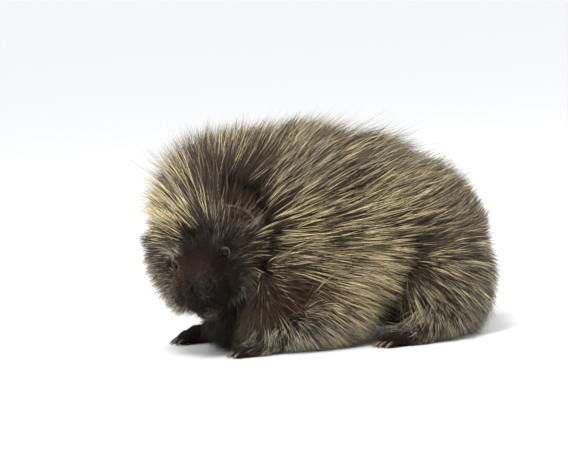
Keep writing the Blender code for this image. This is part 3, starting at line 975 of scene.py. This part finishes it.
EAR_FUR_AT, EAR_FUR_SIZE = 4, (13.8, 24.5)
EAR_FUR_EDGE, EAR_FUR_DEPTH = (0.95, 1.15), (5.5, 8.0)


def of_ear(plan, side):
    """An ear's frame, and how much of each point is this ear."""
    at, local = ear_points(plan, side)
    rho = np.hypot((local[:, 0] - EAR_FUR_AT) / EAR_FUR_SIZE[0], local[:, 1] / EAR_FUR_SIZE[1])
    return at, (1 - ramp(rho, *EAR_FUR_EDGE)) * (1 - ramp(np.abs(local[:, 2]), *EAR_FUR_DEPTH))


BODY_PARTING, HEAD_PARTING = 10.0, 4.0
LIMB_HANG, PAW_HANG, PAW_FUR_HEIGHT = 0.35, 0.15, 0.35


def add_both_sides(coat, places, points, turn, parting):
    """Adds a table that holds for both sides. The hair changes sides within the parting."""
    side, folded = soft_sign(points[:, 1], parting), fold(points)
    for spot, reach, lie, *hair in places:
        lies = np.tile(np.array(lie, float), (len(points), 1))
        lies[:, 1] *= side
        coat.add(folded - spot, reach, unit(lies) @ turn.T, *hair)


def lay_of_coat(points, normals):
    """The way that the hair lies along the skin, its lift, its length and its paleness, which also
    holds painted shade and painted highlights.
    """
    plan = to_plan(points)
    coat = Coat(len(plan))
    turn = np.array(Matrix.Rotation(BODY_TURN, 3, "Z"))
    add_both_sides(coat, BODY_PLACES, (plan - BODY_MIDDLE) @ turn, turn, BODY_PARTING)
    head = in_frame(points, HEAD)
    turn = np.array(HEAD)[:3, :3]
    add_both_sides(coat, HEAD_PLACES, head, turn, HEAD_PARTING)
    for spot, reach, lie, *hair in ONE_SIDE_PLACES:
        coat.add(head - spot, reach, turn @ unit(np.array(lie)), *hair)
    for path, reach, lift, (at_top, at_foot), pale in LIMB_PLACES:
        for k in range(len(path)):
            ahead_to = np.array(path[min(k + 1, len(path) - 1)]) - path[max(k - 1, 0)]
            lie = unit(unit(ahead_to.astype(float)) + (0.0, 0.0, -LIMB_HANG))
            share = k / (len(path) - 1)
            coat.add(plan - path[k], reach, lie, lift, at_top + (at_foot - at_top) * share, pale)
    reach, *hair = PAW_FUR
    for _, heel, toes_way, (paw_length, _, height), _ in PAWS:
        lie = np.array((math.cos(toes_way), math.sin(toes_way), -PAW_HANG))
        for share in PAW_PLACES:
            spot = np.array(heel) + lie * paw_length * share + (0, 0, height * PAW_FUR_HEIGHT)
            coat.add(plan - spot, reach, lie, *hair)
    for spot, reach, lie, *hair in HANGING_PLACES:
        coat.add(plan - spot, reach, unit(np.array(lie)), *hair)
    coat.lie = unit(coat.lie)
    values = coat.values / coat.weight[:, None]
    for side in (-1, 1):
        at, ear = of_ear(plan, side)
        ear = ear[:, None]
        values = values * (1 - ear) + np.array(EAR_FUR[side]) * ear
        coat.lie = coat.lie * (1 - ear) + at[:3, 0] * ear
    flat = coat.lie - normals * (coat.lie * normals).sum(1)[:, None]
    return unit(flat), values[:, 0], values[:, 1], values[:, 2]


def fan_of_head(points, normals, length):
    """The way that the long hair of head and nape stands, and how much of it does so."""
    plan = to_plan(points)
    way = plan - np.array(FAN_AT)
    share = 1 - ramp(np.linalg.norm(way, axis=1), FAN_NEAR, FAN_FAR)
    share = share * ramp(length, *FAN_LENGTHS) * ramp(plan[:, 2], *FAN_HEIGHTS)
    way[:, 0] *= FAN_WIDE
    way[:, 1] = 0.0
    way = unit(way)
    way[:, 1] = FAN_BACK
    way = unit(way)
    share = share * ramp((way * normals).sum(1), *FAN_STANDS)
    return way, share[:, None]


# the hair's tips stay inside this box, in metres
OUTER_LOW, OUTER_HIGH = np.array((-0.2165, -0.197, -0.01)), np.array((0.219, 0.197, 0.2755))
LEAST_SHIFT = 1e-3


def within_box(points, shift):
    """How much of the shift from each point stays inside the outer box, as a multiple of it."""
    edge = np.where(shift > 0, OUTER_HIGH, OUTER_LOW)
    least = LEAST_SHIFT * np.sign(shift + 1e-9)
    return ((edge - points) / np.where(np.abs(shift) > LEAST_SHIFT, shift, least)).min(1)


# metres
HAIR_REACH, NODE_GAP, STEP_PAST = 0.09, 0.003, 2e-5


def way_out(points, directions, tree):
    """How far a hair may grow from each point of the skin before it leaves the solid body."""
    far = np.zeros(len(points))
    for i, (point, direction) in enumerate(zip(points, directions)):
        start, way = Vector(point), Vector(direction)
        gone, left = 0.0, 0.0
        while gone < HAIR_REACH:
            hit, normal, _, distance = tree.ray_cast(start + way * gone, way, HAIR_REACH - gone)
            if hit is None:
                break
            gone += distance
            if normal.dot(way) > 0:
                left = gone
            elif gone - left > NODE_GAP:
                break
            gone += STEP_PAST
        far[i] = left
    return far


# how far a hair's tip leans: along its lie, towards the skin and downwards
TIP_AHEAD, TIP_DROOP, TIP_HANG = 0.36, 0.22, 0.06
FITTED_LENGTHS = (12.0, 26.0)
SHORTEST_FIT, LONGEST_FIT = 0.70, 1.40
LEAN_ON_THE_WAY = 0.8
STRAY_MARGIN = 0.14

points, normals = skin_points, rows_of(skin.data, "normal")
lie, lift, length, pale = lay_of_coat(points, normals)
rise = np.radians(lift)[:, None]
grow = unit(lie * np.cos(rise) + normals * np.sin(rise))
fan, fanned = fan_of_head(points, normals, length)
grow = unit(grow * (1 - fanned) + fan * fanned)
stands = np.clip((grow * normals).sum(1), 0.0, 1.0)[:, None]
lean = lie * TIP_AHEAD * np.cos(rise) * (1 - fanned) - normals * TIP_DROOP * stands
lean = lean - np.array((0.0, 0.0, TIP_HANG))
solid = bmesh.new()
for name in SKIN_NODES:
    solid.from_mesh(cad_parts[name].data)
room = way_out(points, unit(grow + LEAN_ON_THE_WAY * lean), BVHTree.FromBMesh(solid)) / MM
solid.free()
longest = within_box(points, grow + lean + STRAY_MARGIN * np.sign(grow + lean))
room = room / np.linalg.norm(grow + lean, axis=1)
fitted = np.clip(room, SHORTEST_FIT * length, LONGEST_FIT * length)
long_hair = ramp(length, *FITTED_LENGTHS)
length = length * (1 - long_hair) + fitted * long_hair

BARE_LID, LID_FUR_REACH = (1.28, 1.50), 12
SHORTER_BY_EYE, NEAR_EYE = 0.75, (8.5, 17.0)
BARE_NOSTRIL, NOSTRIL_FROM = (2.8, 4.2), 38
CREST_UP, CREST_FRONT, CREST_BACK = (-8, 12), (-16, -8), (-120, -90)
CHEEK_OUT, CHEEK_FRONT, CHEEK_BACK = (16, 26), (6, 18), (-60, -40)
BROW_UP, BROW_SHARE = (8, 16), 0.3
TOP_FACING, TOP_HEIGHT, TOP_SHARE = (0.1, 0.6), (0.06, 0.10), 0.4

head_points = in_frame(points, HEAD)
forward, out, up = head_points.T
bare = np.zeros(len(points))
for side in (-1, 1):
    share, distance, _ = eye_angles(head_points, side)
    bare = np.maximum(bare, (1 - ramp(share, *BARE_LID)) * (distance < LID_FUR_REACH))
    length = length * (1 - SHORTER_BY_EYE * (1 - ramp(distance, *NEAR_EYE)))
    nostril = np.hypot(out - NOSE_MIDDLE - side * NOSTRIL_OUT, up - NOSTRIL_HEIGHT)
    bare = np.maximum(bare, (1 - ramp(nostril, *BARE_NOSTRIL)) * (forward > NOSTRIL_FROM))
covered = 1 - bare

# the crown and nape, the cheeks with part of the brow but not the ears, and the top of the back
crest = ramp(up, *CREST_UP) * (1 - ramp(forward, *CREST_FRONT)) * ramp(forward, *CREST_BACK)
cheek = np.clip(ramp(np.abs(out), *CHEEK_OUT) + BROW_SHARE * ramp(up, *BROW_UP), 0, 1)
cheek = cheek * ramp(forward, *CHEEK_BACK) * (1 - ramp(forward, *CHEEK_FRONT))
for side in (-1, 1):
    cheek = cheek * (1 - of_ear(to_plan(points), side)[1])
topmost = TOP_SHARE * ramp(normals[:, 2], *TOP_FACING) * ramp(points[:, 2], *TOP_HEIGHT)

# how each kind of hair comes and goes with the coat's length, in millimetres
fields = {
    "grow": grow,
    "lean": lean,
    "hair_length": length * MM,
    "longest": longest,
    "pale": pale,
    "guard": ramp(length, 22.0, 36.0),
    "halo": ramp(length, 30.0, 44.0) * np.maximum(crest, topmost),
    "wool": ramp(length, 20.0, 32.0),
    "short": ramp(length, 7.0, 11.0) * (1 - ramp(length, 26.0, 38.0)) * covered,
    "velvet": (1 - ramp(length, 8.0, 13.0)) * covered,
    "cheek": cheek * ramp(length, 3.5, 6.0) * (1 - ramp(length, 16.0, 26.0)) * covered,
}
for name, values in fields.items():
    give(skin.data, name, values)

bpy.context.view_layer.objects.active = skin
skin.select_set(True)
bpy.ops.object.mode_set(mode="EDIT")
bpy.ops.mesh.select_all(action="SELECT")
bpy.ops.uv.smart_project(angle_limit=math.radians(70), island_margin=0.002)
bpy.ops.object.mode_set(mode="OBJECT")
skin.select_set(False)
skin.data.uv_layers[0].name = "OFBake"


def weighted_area(mesh, values):
    """The skin's area, each face counted by how much of this hair grows there."""
    areas = np.empty(len(mesh.polygons))
    mesh.polygons.foreach_get("area", areas)
    total = 0.0
    for polygon, area in zip(mesh.polygons, areas):
        total += area * values[polygon.vertices[0]]
    return total


# ---------------------------------------------------------------- coat
# The coat is wool and short fur under long stiff guard hairs. Each hair is a thin closed
# spike. It leaves the skin at its own lift, leans over towards its tip and gathers with its
# neighbours into locks.


def hair_mesh(name, cuts, taper):
    """One hair of unit length along Z and unit radius, three-sided and closed."""
    bm = bmesh.new()
    uv = bm.loops.layers.uv.new("strand")
    along = bm.verts.layers.float.new("along")
    rings = []
    for k in range(cuts):
        ring = []
        for side in range(3):
            angle = math.tau * side / 3
            vert = bm.verts.new((taper[k] * math.cos(angle), taper[k] * math.sin(angle), k / cuts))
            vert[along] = k / cuts
            ring.append(vert)
        rings.append(ring)
    tip = bm.verts.new((0.0, 0.0, 1.0))
    tip[along] = 1.0
    bm.faces.new(rings[0][::-1])
    join_rings(bm, rings)
    for side in range(3):
        bm.faces.new((rings[-1][side], rings[-1][(side + 1) % 3], tip))
    for face in bm.faces:
        for k, loop in enumerate(face.loops):
            loop[uv].uv = (k / 2 if len(face.loops) == 3 else (0, 1, 1, 0)[k], loop.vert[along])
    return new_object(name, bm)


long_spike = hair_mesh("long_spike", 3, (0.8, 1.0, 0.82))
short_spike = hair_mesh("short_spike", 1, (1.0,))

# how a hair differs from its neighbours, as shares of its length, its wave and its width
OWN_LEAN, OWN_WAVE, OWN_WIDTH = 0.06, 0.4, (0.7, 1.15)
# the share of the room in the outer box that a hair takes up at most
OWN_ROOM = (0.8, 1.0)
# the lowest place of a hair in metres, and the size of its patch on the unwrap
ABOVE_FLOOR = (-9.0, -9.0, 0.0004)
HAIR_PATCH = 0.003
USED_UP = ("grow", "lean", "sag", "pull", "wave", "hair_length", "longest", "guard", "halo",
           "wool", "short", "velvet", "cheek", "strand", "lid", "lip", "sole")


def coat_tree():
    """Grows hairs over the skin. Their lie, lean and length come with the skin."""
    tree, given = new_group("coat", "GeometryNodeTree", (
        ("Skin", "Geometry", None),
        ("Hair", "Object", None),
        ("Grows On", "String", ""),
        ("Hairs per Area", "Float", 1000.0),
        ("Locks per Area", "Float", 100.0),
        ("Width", "Float", 0.0005),
        ("Length Share", "Float", 1.0),
        ("Uneven Length", "Float", 0.2),
        ("Stray", "Float", 0.1),
        ("Lock Stray", "Float", 0.1),
        ("Gather", "Float", 0.5),
        ("Wave", "Float", 0.05),
        ("Seed", "Int", 0),
        ("Finish", "Material", None),
    ), (("Coat", "Geometry"),))
    vector = "FLOAT_VECTOR"

    def step(kind, inputs, **settings):
        return put(tree, kind, inputs, **settings).outputs[0]

    def add(a, b):
        return step("ShaderNodeVectorMath", {0: a, 1: b}, operation="ADD")

    def take(a, b):
        return step("ShaderNodeVectorMath", {0: a, 1: b}, operation="SUBTRACT")

    def times(a, b):
        return number(tree, "MULTIPLY", a, b)

    def read(name, kind="FLOAT"):
        return step("GeometryNodeInputNamedAttribute", {"Name": name}, data_type=kind)

    def keep(geometry, name, value, kind="FLOAT", domain="POINT"):
        inputs = {"Geometry": geometry, "Name": name, "Value": value}
        return step("GeometryNodeStoreNamedAttribute", inputs, data_type=kind, domain=domain)

    def seed(shift):
        return number(tree, "ADD", given["Seed"], float(shift))

    def chance(shift, low=0.0, high=1.0):
        inputs = {2: low, 3: high, "Seed": seed(shift)}
        return put(tree, "FunctionNodeRandomValue", inputs, data_type="FLOAT").outputs[1]

    def scatter(shift):
        inputs = {0: (-1.0, -1.0, -1.0), 1: (1.0, 1.0, 1.0), "Seed": seed(shift)}
        return step("FunctionNodeRandomValue", inputs, data_type=vector)

    def sprinkle(per_area, shift):
        density = times(read(given["Grows On"]), per_area)
        inputs = {"Mesh": given["Skin"], "Density": density, "Seed": seed(shift)}
        return step("GeometryNodeDistributePointsOnFaces", inputs)

    # locks, and hairs that each belong to the nearest lock
    place_now = tree.nodes.new("GeometryNodeInputPosition").outputs[0]
    locks = keep(sprinkle(given["Locks per Area"], 1), "lock_shade", chance(2))
    locks = keep(locks, "lock_way", scatter(3), vector)
    locks = keep(locks, "lock_wave", scatter(12), vector)
    hairs = keep(sprinkle(given["Hairs per Area"], 4), "shade", chance(5))
    nearest = step("GeometryNodeSampleNearest", {"Geometry": locks})

    def of_lock(value, kind=vector):
        inputs = {"Geometry": locks, "Value": value, "Index": nearest}
        return step("GeometryNodeSampleIndex", inputs, data_type=kind)

    hairs = keep(hairs, "lock", of_lock(read("lock_shade"), "FLOAT"))
    to_lock = take(of_lock(place_now), place_now)
    hairs = keep(hairs, "pull", dim(tree, to_lock, given["Gather"]), vector)
    # the way, length and bend of each hair
    lock_way = dim(tree, of_lock(read("lock_way", vector)), given["Lock Stray"])
    own_way = dim(tree, scatter(6), given["Stray"])
    way = add(read("grow", vector), add(lock_way, own_way))
    way = step("ShaderNodeVectorMath", {0: way}, operation="NORMALIZE")
    uneven = number(tree, "MULTIPLY_ADD", chance(7, -1.0, 1.0), given["Uneven Length"], 1.0)
    reach = times(times(read("hair_length"), given["Length Share"]), uneven)
    room = times(read("longest"), chance(13, *OWN_ROOM))
    reach = number(tree, "MINIMUM", reach, room)
    lean_way = add(read("lean", vector), dim(tree, scatter(8), OWN_LEAN))
    hairs = keep(hairs, "sag", dim(tree, lean_way, reach), vector)
    wave = add(of_lock(read("lock_wave", vector)), dim(tree, scatter(11), OWN_WAVE))
    wave = dim(tree, wave, times(reach, given["Wave"]))
    hairs = keep(hairs, "wave", wave, vector)
    turned = step("FunctionNodeAxesToRotation", {"Primary Axis": way, "Secondary Axis": scatter(9)},
                  primary_axis="Z", secondary_axis="X")
    # a spike on each root, made real and then bent
    width = times(given["Width"], chance(10, *OWN_WIDTH))
    size = step("ShaderNodeCombineXYZ", {0: width, 1: width, 2: reach})
    spike = put(tree, "GeometryNodeObjectInfo", {"Object": given["Hair"]}).outputs["Geometry"]
    inputs = {"Points": hairs, "Instance": spike, "Rotation": turned, "Scale": size}
    grown = step("GeometryNodeInstanceOnPoints", inputs)
    coat = step("GeometryNodeRealizeInstances", {"Geometry": grown})
    along = read("along")
    drawn = times(along, number(tree, "SUBTRACT", 2.0, along))
    middle = times(along, number(tree, "SUBTRACT", 1.0, along))
    shift = dim(tree, read("sag", vector), times(along, along))
    shift = add(shift, dim(tree, read("pull", vector), drawn))
    shift = add(shift, dim(tree, read("wave", vector), middle))
    coat = step("GeometryNodeSetPosition", {"Geometry": coat, "Offset": shift})
    above = step("ShaderNodeVectorMath", {0: place_now, 1: ABOVE_FLOOR}, operation="MAXIMUM")
    coat = step("GeometryNodeSetPosition", {"Geometry": coat, "Position": above})
    patch = dim(tree, take(read("strand", vector), (0.5, 0.5, 0.0)), HAIR_PATCH)
    coat = keep(coat, "OFBake", add(read("OFBake", vector), patch), "FLOAT2", "CORNER")
    for name in USED_UP:
        coat = step("GeometryNodeRemoveAttribute", {"Geometry": coat, "Name": name})
    coat = step("GeometryNodeSetMaterial", {"Geometry": coat, "Material": given["Finish"]})
    put(tree, "NodeGroupOutput", {0: coat})
    return tree


COAT = coat_tree()


def grow_coat(name, hairs, finish, **settings):
    """Grows one piece of the coat on the skin and makes it a plain mesh."""
    piece = add_object(name, skin.data)
    modifier = piece.modifiers.new("coat", "NODES")
    modifier.node_group = COAT
    per_area = hairs / weighted_area(skin.data, fields[settings["Grows On"]])
    values = dict(settings, Finish=finish)
    values["Hairs per Area"] = per_area
    values["Locks per Area"] = per_area / values.pop("Lock Size")
    for socket in COAT.interface.items_tree:
        if socket.name in values:
            modifier[socket.identifier] = values[socket.name]
    settle(piece)
    piece.data.uv_layers["OFBake"].active_render = True
    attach(piece, "root")
    return piece


# what makes a hair pale: its lock's shade, its own shade, and where paleness starts and is full
LOCK_SHADE, OWN_SHADE, PALE_FROM = (0.6, -0.3), (0.5, -0.25), (0.38, 0.72)
# where its pale band starts: later by its shade, earlier in the palest places, and a soft edge
LATER, PALEST, EARLIER, BAND_EDGE = 0.25, 0.9, -0.22, (-0.05, 0.22)
GREY_LEG_TIP = (0.74, 0.66, 0.48, 1.0)
PLAIN, RUSSET_TINT, NOSE_TINT = (1.0,) * 4, (2.0, 1.3, 0.95, 1.0), (0.29, 0.27, 0.26, 1.0)
# every hair's brightness differs, and it falls where the coat is dark and where shade is painted
# in: under the throat, on the left jaw, on the chest and behind the left ear
BRIGHT_DRAW, BRIGHT_SPAN = 7.31, (0.45, 0.78)
DARK_FROM, DARK_TO = (-0.4, 0.3), (0.45, 1.0)


def hair_colour():
    """Colour along a hair: its dark root, its pale band and how many of the hairs have one."""
    group, given = new_group("hair_colour", "ShaderNodeTree", (
        ("Root", "Color", (0.03, 0.02, 0.015, 1.0)),
        ("Middle", "Color", (0.05, 0.035, 0.025, 1.0)),
        ("Tip", "Color", (0.6, 0.5, 0.3, 1.0)),
        ("Pale Hairs", "Float", 0.0),
        ("Band Start", "Float", 0.45),
    ), (("Colour", "Color"),))

    def work(operation, *values):
        return number(group, operation, *values)

    def eased(value, edge):
        return map_range(group, value, *edge, interpolation_type="SMOOTHSTEP")

    along, shade, lock, pale, russet, nose, ashen = (
        marking(group, name) for name in
        ("along", "shade", "lock", "pale", "russet", "nose", "ashen"))
    shades = work("ADD", work("MULTIPLY_ADD", lock, *LOCK_SHADE),
                  work("MULTIPLY_ADD", shade, *OWN_SHADE))
    likely = work("ADD", work("ADD", pale, given["Pale Hairs"]), shades)
    start = work("MULTIPLY_ADD", shade, LATER, given["Band Start"])
    palest = work("MAXIMUM", work("SUBTRACT", pale, PALEST), 0.0)
    start = work("MULTIPLY_ADD", palest, EARLIER, start)
    band = work("MULTIPLY", eased(work("SUBTRACT", along, start), BAND_EDGE),
                eased(likely, PALE_FROM))
    warm = blend(group, nose, blend(group, russet, PLAIN, RUSSET_TINT), NOSE_TINT)
    body = blend(group, along, given["Root"], given["Middle"])
    body = put(group, "ShaderNodeVectorMath", {0: body, 1: warm}, operation="MULTIPLY").outputs[0]
    full = blend(group, band, body, blend(group, ashen, given["Tip"], GREY_LEG_TIP))
    own = work("FRACT", work("MULTIPLY", shade, BRIGHT_DRAW))
    # low paleness dims the hair: dark fur, and painted shade at throat, left jaw, chest and behind
    # the left ear
    bright = work("MULTIPLY", work("MULTIPLY_ADD", own, *BRIGHT_SPAN),
                  map_range(group, pale, *DARK_FROM, *DARK_TO))
    put(group, "NodeGroupOutput", {0: dim(group, full, bright)})
    return group


HAIR_COLOUR = hair_colour()


def hair_finish(name, root, middle, tip, pale_hairs, band_start, gloss=0.25):
    material, tree = new_material(name)
    colour = put(tree, "ShaderNodeGroup", node_tree=HAIR_COLOUR)
    for key, value in (("Root", root), ("Middle", middle), ("Tip", tip)):
        colour.inputs[key].default_value = (*value, 1.0)
    colour.inputs["Pale Hairs"].default_value = pale_hairs
    colour.inputs["Band Start"].default_value = band_start
    shade(tree, {"Base Color": colour.outputs[0], "Roughness": 0.5, "Specular IOR Level": gloss})
    return material


DARK_ROOT, DARK_MIDDLE = (0.020, 0.013, 0.010), (0.060, 0.040, 0.028)
CREAM = (0.97, 0.80, 0.44)
# root, middle, tip | how many more hairs are pale, where the pale band starts
pale_guard = hair_finish(
    "pale_guard_hair", DARK_ROOT, (0.10, 0.07, 0.045), CREAM, 0.10, 0.16)
dark_guard = hair_finish(
    "dark_guard_hair", DARK_ROOT, DARK_MIDDLE, (0.60, 0.49, 0.31), -0.45, 0.40)
halo_hair = hair_finish(
    "halo_hair", DARK_ROOT, (0.11, 0.085, 0.065), (0.70, 0.62, 0.46), 0.05, 0.30)
cheek_hair = hair_finish(
    "cheek_hair", DARK_ROOT, (0.12, 0.09, 0.07), (0.52, 0.44, 0.31), 0.20, 0.20)
wool = hair_finish(
    "wool", (0.018, 0.012, 0.009), (0.105, 0.075, 0.052), (0.44, 0.35, 0.22), -0.45, 0.35)
short_fur = hair_finish(
    "short_fur", (0.022, 0.016, 0.012), (0.10, 0.08, 0.06), (0.60, 0.53, 0.41), 0.05, 0.30)
velvet = hair_finish(
    "face_fur", DARK_ROOT, (0.050, 0.031, 0.022), (0.31, 0.235, 0.17), 0.0, 0.5, gloss=0.10)

DARK_GUARD = {"Grows On": "guard", "Hair": long_spike, "Uneven Length": 0.26, "Wave": 0.12,
              "Width": 0.00038, "Stray": 0.06, "Lock Stray": 0.16, "Lock Size": 6.0,
              "Gather": 0.5, "Length Share": 0.90}
PALE_GUARD = dict(DARK_GUARD, **{
    "Width": 0.00032, "Lock Size": 4.0, "Gather": 0.75, "Length Share": 1.05})
FINE = {"Hair": long_spike, "Uneven Length": 0.26, "Wave": 0.12, "Lock Size": 2.0, "Gather": 0.3}
SHORT = {"Grows On": "short", "Hair": short_spike, "Uneven Length": 0.3, "Width": 0.00045,
         "Stray": 0.22, "Lock Stray": 0.15, "Lock Size": 14.0, "Gather": 0.45,
         "Length Share": 1.0}
HALO = dict(FINE, **{"Grows On": "halo", "Width": 0.00022, "Stray": 0.2, "Length Share": 1.30})
CHEEK = dict(FINE, **{
    "Grows On": "cheek", "Width": 0.00015, "Stray": 0.22, "Length Share": 2.1})
WOOL = dict(SHORT, **{
    "Grows On": "wool", "Width": 0.0006, "Stray": 0.25, "Lock Size": 12.0, "Length Share": 0.80})
VELVET = dict(SHORT, **{"Grows On": "velvet", "Width": 0.00028, "Stray": 0.2, "Gather": 0.3})
for name, slot, hairs, seed, finish, settings in (
    ("coat_dark_1", "long_coat", 12100, 100, dark_guard, DARK_GUARD),
    ("coat_dark_2", "long_coat", 12100, 200, dark_guard, DARK_GUARD),
    ("coat_pale_1", "long_coat", 12100, 300, pale_guard, PALE_GUARD),
    ("coat_pale_2", "long_coat", 12100, 400, pale_guard, PALE_GUARD),
    ("halo", "head_coat", 3000, 450, halo_hair, HALO),
    ("cheek_hair", "face_coat", 1200, 480, cheek_hair, CHEEK),
    ("wool_1", "long_coat", 48500, 500, wool, WOOL),
    ("wool_2", "long_coat", 33500, 600, wool, WOOL),
    ("short_fur", "long_coat", 48500, 700, short_fur, SHORT),
    ("face_fur", "face_coat", 36000, 800, velvet, VELVET),
):
    grow_coat(name, hairs, finish, Seed=seed, **settings)
for spike in (long_spike, short_spike):
    bpy.data.objects.remove(spike)
